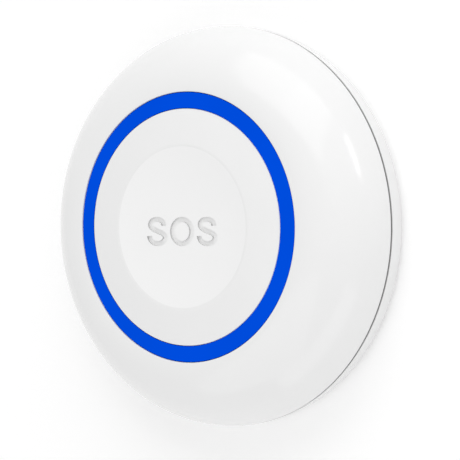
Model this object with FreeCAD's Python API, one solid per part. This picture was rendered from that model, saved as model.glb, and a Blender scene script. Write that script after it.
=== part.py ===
import FreeCAD, Part
import math
import os

# Round wireless panic button, in millimetres. It lies on its back: Z = 0 is the flat
# rear face, +Z points out of the button, and the Z axis is the centre of every round piece.

# Overall form
body_radius = 40.0
shell_edge_z = 19.4
shoulder_width = 13.3
shoulder_fullness = 0.615
shell_wall = 2.2
shell_lip = 2.0
shell_taper_angles = (28.0, 50.0, 68.0)
shell_edge_chamfer = 0.2
shell_foot_chamfer = 0.25

# Rear cover
cover_rim_inset = 0.05
cover_taper = 1.0
cover_rear_chamfer = 0.7
cover_rim_z = 5.05
cover_floor = 1.8
cover_wall = 2.7
cover_rib_count = 6
cover_rib_thickness = 1.2
cover_rib_height = 2.4
seam_gap = 0.5
tongue_height = 2.0
tongue_thickness = 1.2

# Battery door
door_sink = 0.3
door_flange_reach = 1.85
door_plate = 1.5
door_neck_margin = 0.75
door_neck_wall = 1.2
door_lug_count = 3
door_lug_reach = 1.2
door_lug_height = 1.0
door_lug_angle = 24.0
door_twist = 30.0
door_lug_play = 2.0
coin_slot_length = 17.0
coin_slot_width = 2.0
coin_slot_depth = 0.9
coin_rib_wall = 1.2
coin_rib_height = 0.9
collar_height = 1.4
well_wall = 1.2
well_top_gap = 0.6

# Battery and its holder
cell_radius = 12.25
cell_height = 5.0
cell_cap_radius = 10.9
cell_cap_height = 0.6
holder_wall = 1.4
holder_base = 0.75
holder_window_radius = 7.0
holder_rim_drop = 0.4
contact_thickness = 0.3
contact_width = 5.0
contact_foot = 3.0
spring_finger_length = 10.0
spring_finger_width = 3.0

# Circuit board and what is soldered to it
board_inset = 6.8
board_thickness = 1.2
led_count = 6
led_length = 3.5
led_width = 2.8
led_height = 1.4
switch_side = 6.2
switch_height = 3.1
switch_cover_thickness = 0.3
plunger_radius = 1.7
plunger_proud = 1.2
plunger_depth = 2.0
radio_length = 14.0
radio_width = 11.0
radio_thickness = 0.8
shield_length = 11.0
shield_width = 8.6
shield_height = 1.8
chip_side = 7.0
chip_height = 0.9
antenna_length = 7.0
antenna_width = 2.0
antenna_height = 1.2
antenna_inset = 2.6
part_spacing = 1.5

# Light ring
ring_width = 2.92
ring_step = 0.35
ring_rise = 0.35
ring_flange_width = 1.7
ring_flange = 1.15
light_leg_gap = 0.3
light_leg_angle = 9.0

# Button cap
cap_edge_proud = 0.3
cap_edge_chamfer = 0.35
cap_crown_rise = 1.23
cap_plate = 1.9
cap_skirt = 1.2
annulus_width = 7.24
disc_depth = 0.15
disc_slope = 0.25
post_radius = 2.2
cap_rib_count = 6
cap_rib_thickness = 1.0
cap_rib_height = 1.0
hook_count = 3
hook_reach = 0.75
hook_height = 0.8
hook_angle = 12.0
hook_side_play = 1.0
leg_drop = 1.2
press_travel = 0.6

# LED reflector
reflector_wall = 1.0
reflector_rib = 1.0
reflector_rib_drop = 0.5

# Screws and bosses
screw_count = 3
case_screw_inset = 6.6
case_screw_radius = 1.15
case_screw_length = 10.0
case_head_radius = 2.1
case_head_height = 1.4
case_head_depth = 2.2
case_boss_wall = 1.45
board_screw_inset = 9.2
board_screw_radius = 0.95
board_screw_length = 5.2
board_head_radius = 1.8
board_head_height = 1.2
board_boss_wall = 1.15
cross_slot_width = 0.6
cross_slot_depth = 0.7
boss_rib_thickness = 1.0

# Clearances
face_gap = 0.05
running_gap = 0.08
ring_gap = 0.13
assembly_gap = 0.15
button_gap = 0.17
board_notch_gap = 0.3
head_gap = 0.3
cell_gap = 0.2
pilot_spare = 0.6
thread_gap = 0.02

# Heights worked out from the rear face upwards
door_top_z = door_sink + door_plate
seat_z = door_top_z + running_gap
collar_top_z = seat_z + collar_height
lug_z = collar_top_z + running_gap
neck_top_z = lug_z + door_lug_height
cell_z = neck_top_z + cell_gap
cell_top_z = cell_z + cell_height
holder_base_z = cell_top_z + face_gap
board_z = holder_base_z + holder_base
board_top_z = board_z + board_thickness
switch_top_z = board_top_z + switch_height + switch_cover_thickness
plunger_top_z = switch_top_z + plunger_proud

# Heights worked out from the front edge of the shell downwards
shell_foot_z = cover_rim_z + seam_gap
lip_z = shell_edge_z - shell_lip
ring_edge_z = shell_edge_z - ring_step
ring_crest_z = ring_edge_z + ring_rise
ring_flange_z = lip_z - face_gap
ring_foot_z = ring_flange_z - ring_flange
hook_top_z = ring_foot_z - running_gap
skirt_foot_z = hook_top_z - hook_height
leg_foot_z = skirt_foot_z - leg_drop
stop_z = skirt_foot_z - press_travel - face_gap
cap_edge_z = ring_crest_z + cap_edge_proud
disc_edge_z = cap_edge_z + cap_crown_rise
disc_z = disc_edge_z - disc_depth

# Radii worked out from the pieces that meet there
opening_radius = body_radius - shoulder_width
cover_rim_radius = body_radius - cover_rim_inset
cover_rear_radius = cover_rim_radius - cover_taper
board_radius = body_radius - board_inset
case_screw_circle = body_radius - case_screw_inset
board_screw_circle = body_radius - board_screw_inset
ring_outer_radius = opening_radius - ring_gap
ring_inner_radius = ring_outer_radius - ring_width
ring_flange_radius = ring_outer_radius + ring_flange_width
cap_radius = ring_inner_radius - button_gap
disc_radius = cap_radius - annulus_width
skirt_inner_radius = cap_radius - cap_skirt
hook_radius = cap_radius + hook_reach
reflector_inner_radius = cap_radius - reflector_wall
reflector_outer_radius = ring_flange_radius
led_circle = (cap_radius + reflector_outer_radius - reflector_wall) / 2
shell_bore_radius = body_radius - shell_wall
tongue_radius = shell_bore_radius - assembly_gap
door_neck_radius = cell_radius + door_neck_margin
door_radius = door_neck_radius + door_flange_reach
collar_radius = door_neck_radius + running_gap
lug_radius = door_neck_radius + door_lug_reach
well_radius = lug_radius + assembly_gap
well_outer_radius = well_radius + well_wall
door_recess_radius = door_radius + running_gap
holder_bore_radius = cell_radius + assembly_gap
holder_radius = holder_bore_radius + holder_wall
case_boss_radius = case_screw_radius + case_boss_wall
case_recess_radius = case_head_radius + head_gap
case_post_radius = case_recess_radius + case_boss_wall / 2
board_boss_radius = board_screw_radius + board_boss_wall
radio_offset = switch_side / 2 + part_spacing + radio_width / 2
chip_offset = switch_side / 2 + part_spacing + chip_side / 2

# Angles about Z, in degrees, counted from +X
case_screw_angle = 90.0
board_screw_angle = 30.0
hook_first_angle = 15.0
led_first_angle = 30.0
cover_rib_first_angle = 0.0
lug_first_angle = 0.0
antenna_angle = 120.0

axis_point = FreeCAD.Vector(0, 0, 0)
z_axis = FreeCAD.Vector(0, 0, 1)


def at(radius, z):
    return FreeCAD.Vector(radius, 0, z)


def lines(*points):
    """Straight edges through (radius, z) points of a half section."""
    ends = [at(*point) for point in points]
    return [Part.makeLine(a, b) for a, b in zip(ends, ends[1:])]


def shoulder_curve(start, corner, end, fullness):
    """Conic that is tangent to start-corner and corner-end, nearer the corner the fuller it is."""
    curve = Part.BezierCurve()
    curve.setPoles([at(*start), at(*corner), at(*end)])
    curve.setWeight(2, fullness)
    return [curve.toShape()]


def arc(start, middle, end):
    return [Part.Arc(at(*start), at(*middle), at(*end)).toShape()]


def turned(*edge_lists, angle=360.0):
    """Solid of revolution of a closed half section about Z."""
    edges = [edge for group in edge_lists for edge in group]
    return Part.Face(Part.Wire(edges)).revolve(axis_point, z_axis, angle)


def tube(outer, inner, low, high):
    return turned(lines((inner, low), (outer, low), (outer, high), (inner, high), (inner, low)))


def sector(outer, inner, low, high, middle, width):
    """Part of a tube, width degrees wide about the angle middle."""
    outline = lines((inner, low), (outer, low), (outer, high), (inner, high), (inner, low))
    return turned_to(turned(outline, angle=width), middle - width / 2)


def rod(radius, low, high, x=0.0):
    return Part.makeCylinder(radius, high - low, at(x, low))


def block(length, width, low, high, x=0.0, y=0.0):
    """Box of the given length along X and width along Y, centred on x, y."""
    corner = FreeCAD.Vector(x - length / 2, y - width / 2, low)
    return Part.makeBox(length, width, high - low, corner)


def turned_to(shape, angle):
    copy = shape.copy()
    copy.rotate(axis_point, z_axis, angle)
    return copy


def pattern(shape, count, first_angle=0.0):
    """Copies of a shape evenly round Z."""
    return [turned_to(shape, first_angle + k * 360.0 / count) for k in range(count)]


def dome_inside_at(angle):
    """Point of the dome's inside, an ellipse one wall in from the shell's side and from its edge."""
    radius = opening_radius + (body_radius - shell_wall - opening_radius) * math.cos(math.radians(angle))
    height = shell_foot_z + (shell_edge_z - shell_wall - shell_foot_z) * math.sin(math.radians(angle))
    return radius, height


def dome_inside_height(radius):
    share = (radius - opening_radius) / (body_radius - shell_wall - opening_radius)
    return shell_foot_z + (shell_edge_z - shell_wall - shell_foot_z) * math.sqrt(1 - share * share)


def shell_outer_form():
    """The front shell's outside as a full body, from its foot up to the opening."""
    dome_foot_z = shell_foot_z + shell_foot_chamfer
    rim_radius = opening_radius + shell_edge_chamfer
    return turned(
        lines((0, shell_edge_z), (0, shell_foot_z), (body_radius - shell_foot_chamfer, shell_foot_z),
              (body_radius, dome_foot_z)),
        shoulder_curve((body_radius, dome_foot_z), (body_radius, shell_edge_z), (rim_radius, shell_edge_z),
                       shoulder_fullness),
        lines((rim_radius, shell_edge_z), (0, shell_edge_z)),
    )


def shell_cavity():
    """Space inside the front shell: a straight bore for the tongue, tapers under the dome, a pocket."""
    bore_top = cover_rim_z + tongue_height + assembly_gap
    pocket_radius = ring_flange_radius + assembly_gap
    dome = [dome_inside_at(angle) for angle in shell_taper_angles]
    return turned(lines(
        (0, shell_foot_z), (shell_bore_radius, shell_foot_z), (shell_bore_radius, bore_top), *dome,
        (pocket_radius, dome_inside_height(pocket_radius)), (pocket_radius, lip_z), (0, lip_z), (0, shell_foot_z),
    ))


def boss_pair(radius, boss_foot, circle, pilot_radius, pilot_top):
    """A boss that hangs from the dome, with a rib to the wall, and its pilot hole."""
    boss = rod(radius, boss_foot, shell_edge_z, x=circle)
    rib = block(body_radius - circle, boss_rib_thickness, boss_foot + radius, shell_edge_z,
                x=(body_radius + circle) / 2)
    hole = rod(pilot_radius, boss_foot, pilot_top, x=circle)
    return boss.fuse(rib), hole


def front_housing():
    outer = shell_outer_form()
    case_boss, case_hole = boss_pair(
        case_boss_radius, shell_foot_z, case_screw_circle,
        case_screw_radius + thread_gap, case_head_depth + case_screw_length + pilot_spare,
    )
    board_boss, board_hole = boss_pair(
        board_boss_radius, board_top_z + face_gap, board_screw_circle,
        board_screw_radius + thread_gap, board_z + board_screw_length + pilot_spare,
    )
    bosses = pattern(case_boss, screw_count, case_screw_angle)
    bosses += pattern(board_boss, screw_count, board_screw_angle)
    holes = pattern(case_hole, screw_count, case_screw_angle)
    holes += pattern(board_hole, screw_count, board_screw_angle)
    tongue_room = tube(body_radius, tongue_radius - tongue_thickness - assembly_gap,
                       shell_foot_z, cover_rim_z + tongue_height + assembly_gap)
    inside = [boss.common(shell_cavity()).cut(tongue_room) for boss in bosses]
    mouth = turned(lines(
        (0, lip_z), (opening_radius, lip_z), (opening_radius, shell_edge_z - shell_edge_chamfer),
        (opening_radius + shell_edge_chamfer, shell_edge_z), (0, shell_edge_z), (0, lip_z),
    ))
    shell = outer.cut(shell_cavity()).cut(mouth)
    return shell.multiFuse(inside).cut(Part.makeCompound(holes)).removeSplitter()


def light_ring():
    """Light guide: a sloping band with a flange under the lip, and a leg over each light."""
    band = turned(lines(
        (ring_inner_radius, ring_foot_z), (ring_flange_radius, ring_foot_z),
        (ring_flange_radius, ring_flange_z), (ring_outer_radius, ring_flange_z),
        (ring_outer_radius, ring_edge_z), (ring_inner_radius, ring_crest_z),
        (ring_inner_radius, ring_foot_z),
    ))
    leg_top = (ring_foot_z + ring_flange_z) / 2
    leg = sector(led_circle + led_width / 2, hook_radius + assembly_gap, board_top_z + led_height + light_leg_gap,
                 leg_top, 0, light_leg_angle)
    return band.multiFuse(pattern(leg, led_count, led_first_angle)).removeSplitter()


def crown_height_at(radius):
    """Z of the spherical crown that runs from the disc's edge to the cap's edge."""
    span = cap_radius ** 2 - disc_radius ** 2
    sphere = span / (2 * cap_crown_rise)
    return disc_edge_z - (radius ** 2 - disc_radius ** 2) / (2 * sphere)


def button_cap():
    round_start = cap_radius - cap_edge_chamfer
    round_z = crown_height_at(round_start)
    middle = (disc_radius + round_start) / 2
    under_z = disc_z - cap_plate
    under_edge_z = crown_height_at(skirt_inner_radius) - cap_plate
    cap = turned(
        lines((0, under_z), (0, disc_z), (disc_radius - disc_slope, disc_z), (disc_radius, disc_edge_z)),
        arc((disc_radius, disc_edge_z), (middle, crown_height_at(middle)), (round_start, round_z)),
        lines(
            (round_start, round_z), (cap_radius, round_z - cap_edge_chamfer), (cap_radius, skirt_foot_z),
            (skirt_inner_radius, skirt_foot_z), (skirt_inner_radius, under_edge_z),
            (disc_radius, under_z), (0, under_z),
        ),
    )
    post = rod(post_radius, plunger_top_z + face_gap, disc_z - cap_plate / 2)
    rib = block(skirt_inner_radius, cap_rib_thickness, under_z - cap_rib_height, disc_z - cap_plate / 2,
                x=skirt_inner_radius / 2)
    rib = rib.common(turned(lines(
        (0, under_z - cap_rib_height), (skirt_inner_radius + cap_skirt / 2, under_edge_z - cap_rib_height),
        (skirt_inner_radius + cap_skirt / 2, under_edge_z + cap_plate / 2),
        (disc_radius, under_z + cap_plate / 2), (0, under_z + cap_plate / 2), (0, under_z - cap_rib_height),
    )))
    leg = sector(cap_radius, skirt_inner_radius, leg_foot_z, skirt_foot_z + cap_skirt, 0, hook_angle)
    hook = sector(hook_radius, cap_radius - cap_skirt / 2, skirt_foot_z, hook_top_z, 0, hook_angle)
    legs = pattern(leg.fuse(hook), hook_count, hook_first_angle)
    return cap.multiFuse([post] + pattern(rib, cap_rib_count) + legs).removeSplitter()


def led_reflector():
    """Two walls round the LEDs, joined by ribs, that hold the light ring up against the lip."""
    foot = board_top_z + face_gap
    outer = tube(reflector_outer_radius, reflector_outer_radius - reflector_wall, foot, ring_foot_z - face_gap)
    inner = tube(cap_radius, reflector_inner_radius, foot, stop_z)
    notch_floor = leg_foot_z - press_travel - face_gap
    notch = sector(cap_radius + face_gap, reflector_inner_radius - face_gap, notch_floor, stop_z, 0,
                   hook_angle + 2 * hook_side_play)
    inner = inner.cut(Part.makeCompound(pattern(notch, hook_count, hook_first_angle)))
    rib_length = reflector_outer_radius - reflector_wall / 2 - (cap_radius - reflector_wall / 2)
    rib = block(rib_length, reflector_rib, foot, leg_foot_z - press_travel - reflector_rib_drop,
                x=cap_radius - reflector_wall / 2 + rib_length / 2)
    ribs = pattern(rib, led_count, led_first_angle + 180.0 / led_count)
    return outer.multiFuse([inner] + ribs).removeSplitter()


def circuit_board():
    board = rod(board_radius, board_z, board_top_z)
    notch_radius = case_boss_radius + board_notch_gap
    notch = rod(notch_radius, board_z, board_top_z, x=case_screw_circle)
    slot = block(body_radius - case_screw_circle, 2 * notch_radius, board_z, board_top_z,
                 x=(body_radius + case_screw_circle) / 2)
    hole = rod(board_screw_radius + assembly_gap, board_z, board_top_z, x=board_screw_circle)
    cuts = pattern(notch.fuse(slot), screw_count, case_screw_angle)
    cuts += pattern(hole, screw_count, board_screw_angle)
    return board.cut(Part.makeCompound(cuts))


def ring_leds():
    led = block(led_width, led_length, board_top_z, board_top_z + led_height, x=led_circle)
    return pattern(led, led_count, led_first_angle)


def switch_body():
    body = block(switch_side, switch_side, board_top_z, board_top_z + switch_height)
    bore = rod(plunger_radius + running_gap, board_top_z + switch_height - plunger_depth, board_top_z + switch_height)
    return body.cut(bore)


def switch_cover():
    low = board_top_z + switch_height
    plate = block(switch_side, switch_side, low, low + switch_cover_thickness)
    return plate.cut(rod(plunger_radius + running_gap, low, low + switch_cover_thickness))


def switch_plunger():
    foot = board_top_z + switch_height - plunger_depth + press_travel + running_gap
    return rod(plunger_radius, foot, plunger_top_z)


def radio_board():
    return block(radio_length, radio_width, board_top_z, board_top_z + radio_thickness, y=radio_offset)


def radio_shield():
    low = board_top_z + radio_thickness
    return block(shield_length, shield_width, low, low + shield_height, y=radio_offset)


def controller_chip():
    return block(chip_side, chip_side, board_top_z, board_top_z + chip_height, y=-chip_offset)


def chip_antenna():
    chip = block(antenna_width, antenna_length, board_top_z, board_top_z + antenna_height,
                 x=board_radius - antenna_inset)
    return turned_to(chip, antenna_angle)


def coin_cell():
    shoulder = cell_top_z - cell_cap_height
    return turned(lines(
        (0, cell_z), (cell_radius, cell_z), (cell_radius, shoulder), (cell_cap_radius, shoulder),
        (cell_cap_radius, cell_top_z), (0, cell_top_z), (0, cell_z),
    ))


def battery_holder():
    """Cup that the cell drops into, with a window for the spring and a slot for the side contact."""
    rim = cell_z + holder_rim_drop
    cup = turned(lines(
        (holder_bore_radius, rim), (holder_radius, rim), (holder_radius, board_z),
        (holder_window_radius, board_z), (holder_window_radius, holder_base_z),
        (holder_bore_radius, holder_base_z), (holder_bore_radius, rim),
    ))
    reach = holder_wall + 2 * assembly_gap
    slot = block(reach, contact_width + 2 * assembly_gap, rim, board_z, x=holder_radius - reach / 2 + assembly_gap)
    return cup.cut(slot)


def positive_contact():
    """Strip that stands beside the cell in the holder's slot, with its foot on the board."""
    inner = cell_radius + face_gap
    leaf = block(contact_thickness, contact_width, cell_z + holder_rim_drop, board_z, x=inner + contact_thickness / 2)
    foot = block(contact_foot, contact_width, board_z - contact_thickness, board_z, x=inner + contact_foot / 2)
    return leaf.fuse(foot).removeSplitter()


def negative_contact():
    """Leaf on the board's underside with a finger that bends down to the cell's cap."""
    low = cell_top_z + face_gap
    top = board_z
    half = spring_finger_length / 2
    bend = contact_thickness * 2
    outline = [(-half, top), (half, top), (half, top - contact_thickness), (bend - half, top - contact_thickness),
               (half - bend, low), (half - 2 * bend, low), (-half, top - contact_thickness)]
    points = [FreeCAD.Vector(x, -spring_finger_width / 2, z) for x, z in outline]
    face = Part.Face(Part.makePolygon(points + points[:1]))
    return face.extrude(FreeCAD.Vector(0, spring_finger_width, 0))


def case_screw_hole():
    recess = rod(case_recess_radius, 0, case_head_depth, x=case_screw_circle)
    return recess.fuse(rod(case_screw_radius + assembly_gap, 0, shell_foot_z, x=case_screw_circle))


def cover_dish():
    """Floor and side wall of the cover, with the tongue that enters the front shell."""
    tongue_top = cover_rim_z + tongue_height
    return turned(lines(
        (0, cover_floor), (0, 0), (cover_rear_radius - cover_rear_chamfer, 0),
        (cover_rear_radius, cover_rear_chamfer), (cover_rim_radius, cover_rim_z),
        (tongue_radius, cover_rim_z), (tongue_radius, tongue_top),
        (tongue_radius - tongue_thickness, tongue_top),
        (cover_rear_radius - cover_wall, cover_floor), (0, cover_floor),
    ))


def rear_cover():
    dish = cover_dish()
    well = tube(well_outer_radius, collar_radius, 0, board_z - well_top_gap)
    well = well.cut(tube(well_radius, 0.0, collar_top_z, board_z - well_top_gap))
    posts = pattern(rod(case_post_radius, 0, shell_foot_z - face_gap, x=case_screw_circle), screw_count,
                    case_screw_angle)
    posts = [post.common(rod(tongue_radius - tongue_thickness / 2, 0, shell_foot_z)) for post in posts]
    notch_angle = door_lug_angle + 2 * door_lug_play
    notches = pattern(sector(well_radius, collar_radius / 2, seat_z, collar_top_z, -door_twist, notch_angle),
                      door_lug_count, lug_first_angle)
    stop_width = 360.0 / door_lug_count - door_lug_angle - door_twist - 2 * door_lug_play
    stop_middle = (360.0 / door_lug_count - door_twist) / 2
    stops = pattern(sector(well_radius + well_wall / 2, collar_radius + assembly_gap, seat_z, neck_top_z,
                           stop_middle, stop_width), door_lug_count, lug_first_angle)
    rib_end = cover_rear_radius - cover_wall / 2
    rib = block(rib_end - well_radius, cover_rib_thickness, 0, cover_floor + cover_rib_height,
                x=(rib_end + well_radius) / 2)
    ribs = pattern(rib, cover_rib_count, cover_rib_first_angle)
    well = well.multiFuse([rib.cut(rod(well_outer_radius, 0, cover_floor + cover_rib_height)) for rib in ribs])
    cuts = [rod(collar_radius, 0, collar_top_z), rod(door_recess_radius, 0, seat_z)]
    cuts += notches + pattern(case_screw_hole(), screw_count, case_screw_angle)
    body = dish.multiFuse([well] + posts)
    return body.cut(Part.makeCompound(cuts)).multiFuse(stops).removeSplitter()


def battery_door():
    """Bayonet door: a plate with a coin slot, a neck and lugs that turn in over the collar."""
    plate = rod(door_radius, door_sink, door_top_z)
    neck = tube(door_neck_radius, door_neck_radius - door_neck_wall, door_sink, neck_top_z)
    lug = sector(lug_radius, door_neck_radius - door_neck_wall / 2, lug_z, neck_top_z, 0, door_lug_angle)
    rib = block(coin_slot_length + 2 * coin_rib_wall, coin_slot_width + 2 * coin_rib_wall,
                door_sink, door_top_z + coin_rib_height)
    slot = block(coin_slot_length, coin_slot_width, door_sink, door_sink + coin_slot_depth)
    door = plate.multiFuse([neck, rib] + pattern(lug, door_lug_count, lug_first_angle))
    return door.cut(slot).removeSplitter()


def screw(shank_radius, length, head_radius, head_height, seat, circle):
    """Pan head screw driven in from the rear, its head's underside on the seat."""
    head = rod(head_radius, seat - head_height, seat, x=circle)
    shank = rod(shank_radius, seat, seat + length, x=circle)
    slot_low = seat - head_height
    bar = block(head_radius, cross_slot_width, slot_low, slot_low + cross_slot_depth, x=circle)
    other = block(cross_slot_width, head_radius, slot_low, slot_low + cross_slot_depth, x=circle)
    return head.fuse(shank).cut(bar).cut(other)


def case_screws():
    one = screw(case_screw_radius, case_screw_length, case_head_radius, case_head_height,
                case_head_depth, case_screw_circle)
    return Part.makeCompound(pattern(one, screw_count, case_screw_angle))


def board_screws():
    one = screw(board_screw_radius, board_screw_length, board_head_radius, board_head_height,
                board_z, board_screw_circle)
    return Part.makeCompound(pattern(one, screw_count, board_screw_angle))


def all_pieces():
    pieces = {
        "front_housing": front_housing(),
        "rear_cover": rear_cover(),
        "light_ring": light_ring(),
        "button_cap": button_cap(),
        "led_reflector": led_reflector(),
        "circuit_board": circuit_board(),
        "switch_body": switch_body(),
        "switch_cover": switch_cover(),
        "switch_plunger": switch_plunger(),
        "radio_board": radio_board(),
        "radio_shield": radio_shield(),
        "controller_chip": controller_chip(),
        "chip_antenna": chip_antenna(),
        "coin_cell": coin_cell(),
        "battery_holder": battery_holder(),
        "positive_contact": positive_contact(),
        "negative_contact": negative_contact(),
        "battery_door": battery_door(),
        "housing_screws": case_screws(),
        "board_screws": board_screws(),
    }
    for number, led in enumerate(ring_leds(), start=1):
        pieces[f"ring_led_{number}"] = led
    return pieces


os.makedirs("parts", exist_ok=True)
for name, shape in all_pieces().items():
    shape.exportStep(f"parts/{name}.step")
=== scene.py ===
import math

import bpy
from mathutils import Matrix, Vector


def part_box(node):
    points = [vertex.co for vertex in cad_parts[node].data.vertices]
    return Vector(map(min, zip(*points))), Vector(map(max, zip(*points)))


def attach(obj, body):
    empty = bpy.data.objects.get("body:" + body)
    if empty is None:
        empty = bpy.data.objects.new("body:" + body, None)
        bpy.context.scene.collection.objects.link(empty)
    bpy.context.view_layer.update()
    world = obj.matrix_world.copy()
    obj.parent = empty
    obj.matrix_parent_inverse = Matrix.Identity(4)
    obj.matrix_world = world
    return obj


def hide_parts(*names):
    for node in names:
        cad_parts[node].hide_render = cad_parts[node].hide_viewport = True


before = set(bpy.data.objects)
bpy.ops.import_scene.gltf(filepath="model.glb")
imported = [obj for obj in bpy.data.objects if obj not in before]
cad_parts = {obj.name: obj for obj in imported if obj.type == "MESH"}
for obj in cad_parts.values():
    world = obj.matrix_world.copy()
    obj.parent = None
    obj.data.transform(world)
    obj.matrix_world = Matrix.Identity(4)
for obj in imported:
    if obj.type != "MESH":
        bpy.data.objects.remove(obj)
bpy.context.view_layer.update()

# Round wireless panic button, lying on its back. Lengths are metres, Z is the button's centre axis.
MM = 0.001
FULL_TURN = 2 * math.pi

# Points nearer than WELD are merged. A joined part is set back from the faces beside it, or takes a
# share of their width, so that no faces coincide. A cutter reaches past the face that it cuts.
WELD = 0.002 * MM
SET_BACK = 0.02 * MM
SIDE_SHARE = 0.98
OVERCUT = 1.0 * MM

# Heights and outer radii that the fixed frame gives
shell_low, shell_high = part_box("front_housing")
ring_low, ring_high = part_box("light_ring")
cap_low, cap_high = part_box("button_cap")
door_low, door_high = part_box("battery_door")
board_low, board_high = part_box("circuit_board")
screws_low, screws_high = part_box("housing_screws")
board_screws_low, board_screws_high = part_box("board_screws")
BODY_RADIUS = shell_high.x
SHELL_FOOT = shell_low.z
SHELL_EDGE = shell_high.z
RING_FLANGE_RADIUS = ring_high.x
RING_LEG_FOOT = ring_low.z
DISC_EDGE = cap_high.z
LEG_FOOT = cap_low.z
DOOR_RADIUS = door_high.x
DOOR_FACE = door_low.z
DOOR_NECK_TOP = door_high.z
BOARD_UNDERSIDE = board_low.z
BOARD_TOP = board_high.z
CASE_HEAD_FACE = screws_low.z
CASE_SCREW_TIP = screws_high.z
BOARD_HEAD_FACE = board_screws_low.z
BOARD_SCREW_TIP = board_screws_high.z
PLUNGER_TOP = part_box("switch_plunger")[1].z
COVER_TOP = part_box("rear_cover")[1].z
CELL_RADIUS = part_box("coin_cell")[1].x

# Front shell
SHOULDER_WIDTH = 13.2 * MM
SHOULDER_FULLNESS = 0.615
OPENING_RADIUS = BODY_RADIUS - SHOULDER_WIDTH
SHELL_WALL = 2.2 * MM
SHELL_LIP = 2.0 * MM
SHELL_EDGE_ROUND = 0.2 * MM
SHELL_FOOT_ROUND = 0.25 * MM
LIP_UNDERSIDE = SHELL_EDGE - SHELL_LIP

# Arcs in the half section, in degrees from the outward direction
INNER_WALL_ARC = (74, 14)
BOSS_ROOM_ARC = (18, 76)

# Gaps between pieces
FIT_GAP = 0.15 * MM
FACE_GAP = 0.05 * MM
RUNNING_GAP = 0.08 * MM

# Light ring, lit on its front face and a little way down its inner side
RING_OUTER_RADIUS = OPENING_RADIUS - 0.08 * MM
RING_WIDTH = 3.16 * MM
RING_INNER_RADIUS = RING_OUTER_RADIUS - RING_WIDTH
RING_EDGE = SHELL_EDGE - 0.2 * MM
RING_CREST = ring_high.z + 0.3 * MM
RING_FLANGE_TOP = LIP_UNDERSIDE - 0.05 * MM
RING_FOOT = RING_FLANGE_TOP - 1.15 * MM
RING_ROUND = 0.08 * MM
RING_SIDE_LIT = 0.1 * MM
RING_LEG_WIDTH = math.radians(9)
LED_COUNT = 6
LED_DEPTH = 2.8 * MM
LED_WINDOW_ALONG = 0.36 * LED_DEPTH
LED_WINDOW_ACROSS = 0.42 * LED_DEPTH
REFLECTOR_WALL = 1.0 * MM
LED_FIRST_ANGLE = math.radians(30)

# Button cap
CAP_RADIUS = RING_INNER_RADIUS - 0.1 * MM
LED_CIRCLE = (CAP_RADIUS + RING_FLANGE_RADIUS - REFLECTOR_WALL) / 2
CAP_EDGE_ROUND = 0.2 * MM
CAP_EDGE = RING_CREST - 0.05 * MM
CAP_SKIRT = 1.2 * MM
CAP_PLATE = 1.9 * MM
DISC_RADIUS = CAP_RADIUS - 7.24 * MM
DISC_SLOPE = 0.5 * MM
DISC_FACE = DISC_EDGE - 0.15 * MM
HOOK_TOP = RING_FOOT - RUNNING_GAP
HOOK_HEIGHT = 0.8 * MM
HOOK_REACH = 0.75 * MM
HOOK_WIDTH = math.radians(12)
HOOK_COUNT = 3
HOOK_FIRST_ANGLE = math.radians(15)
SKIRT_FOOT = HOOK_TOP - HOOK_HEIGHT
POST_RADIUS = 2.2 * MM
POST_FOOT = PLUNGER_TOP + 0.05 * MM
CAP_RIB_PAIRS = 3
CAP_RIB_FIRST_ANGLE = math.radians(60)
CAP_RIB_THICKNESS = 1.0 * MM
CAP_RIB_HEIGHT = 1.0 * MM

# Engraved letters: strokes drawn narrow and then widened, so that uprights are the thicker ones
LETTER_DEPTH = 0.5 * MM
LETTER_STROKE = 1.03 * MM
LETTER_WIDENING = 1.2
LETTER_STEP = 6.29 * MM
LETTERS_CENTRE = Vector((0.0, -0.84 * MM, DISC_FACE))
O_REACH = (2.42 * MM, 2.38 * MM)
S_PATH = (
    ((1.67, 1.13), (0.0, 0.8)),
    ((0.02, 2.38), (-1.0, 0.0)),
    ((-1.73, 1.34), (0.0, -0.6)),
    ((0.03, 0.08), (0.85, -0.29)),
    ((1.97, -1.17), (0.0, -0.7)),
    ((0.05, -2.38), (-1.2, 0.0)),
    ((-1.97, -0.9), (0.0, 0.83)),
)

# Rear cover
COVER_RIM_RADIUS = BODY_RADIUS - 0.05 * MM
COVER_REAR_RADIUS = COVER_RIM_RADIUS - 1.0 * MM
COVER_RIM = SHELL_FOOT - 0.5 * MM
SEAM_MIDDLE = (SHELL_FOOT + COVER_RIM) / 2
# How far from the seam's middle the painted shade in the seam reaches
SEAM_SHADE_REACH = 0.3 * MM
COVER_REAR_CHAMFER = 0.7 * MM
COVER_WALL = 2.7 * MM
COVER_FLOOR = 1.8 * MM
TONGUE_RADIUS = BODY_RADIUS - SHELL_WALL - FIT_GAP
TONGUE_WALL = 1.2 * MM
TONGUE_TOP = COVER_RIM + 2.0 * MM
COVER_RIB_COUNT = 6
COVER_RIB_THICKNESS = 1.2 * MM
COVER_RIB_TOP = COVER_FLOOR + 2.4 * MM

# Battery door and the well that it locks into
DOOR_NECK_RADIUS = CELL_RADIUS + 0.75 * MM
DOOR_NECK_WALL = 1.2 * MM
DOOR_TOP = DOOR_FACE + 1.5 * MM
DOOR_EDGE_ROUND = 0.3 * MM
LUG_RADIUS = DOOR_NECK_RADIUS + 1.2 * MM
LUG_HEIGHT = 1.0 * MM
LUG_COUNT = 3
LUG_WIDTH = math.radians(24)
LUG_PLAY = math.radians(2)
DOOR_TWIST = math.radians(30)
COIN_SLOT_LENGTH = 17.0 * MM
COIN_SLOT_WIDTH = 2.0 * MM
COIN_SLOT_DEPTH = 0.9 * MM
COIN_SLOT_ROUND = 0.49 * COIN_SLOT_WIDTH
COIN_RIB_WALL = 1.2 * MM
COIN_RIB_TOP = DOOR_TOP + 0.9 * MM
COLLAR_FOOT = DOOR_TOP + RUNNING_GAP
COLLAR_TOP = COLLAR_FOOT + 1.4 * MM
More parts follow.
